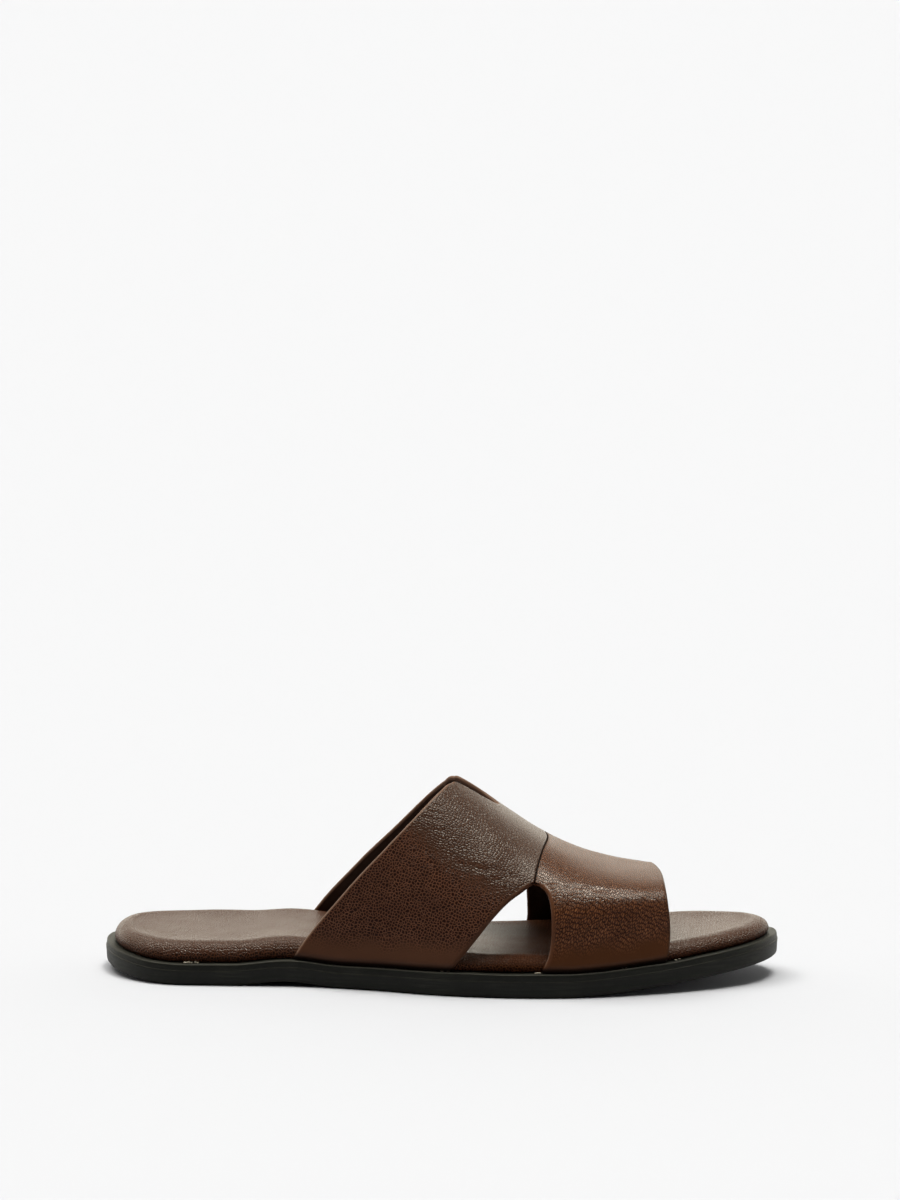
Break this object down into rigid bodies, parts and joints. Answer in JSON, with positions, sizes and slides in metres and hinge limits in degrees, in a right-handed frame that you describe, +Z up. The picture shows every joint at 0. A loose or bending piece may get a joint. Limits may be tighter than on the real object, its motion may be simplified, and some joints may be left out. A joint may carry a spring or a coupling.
{
  "type": "slip-on sandal",
  "caption": "Open-toed leather slide for the right foot: flat rubber outsole, padded footbed and broad joined straps with side cut-outs and a notched collar.",
  "frame": {"origin": "middle of the footprint, on the floor", "axes": "+X towards the toe, +Y towards the inner side of the foot, +Z up"},
  "size_m": [0.29, 0.1041, 0.0848],
  "materials": {
    "rubber": "matte black moulded rubber",
    "footbed_leather": "satin brown leather over padding",
    "upper_leather": "satin pebbled brown leather"
  },
  "bodies": {
    "root": {"outsole": "rubber", "footbed": "footbed_leather", "upper": "upper_leather"}
  },
  "joints": []
}
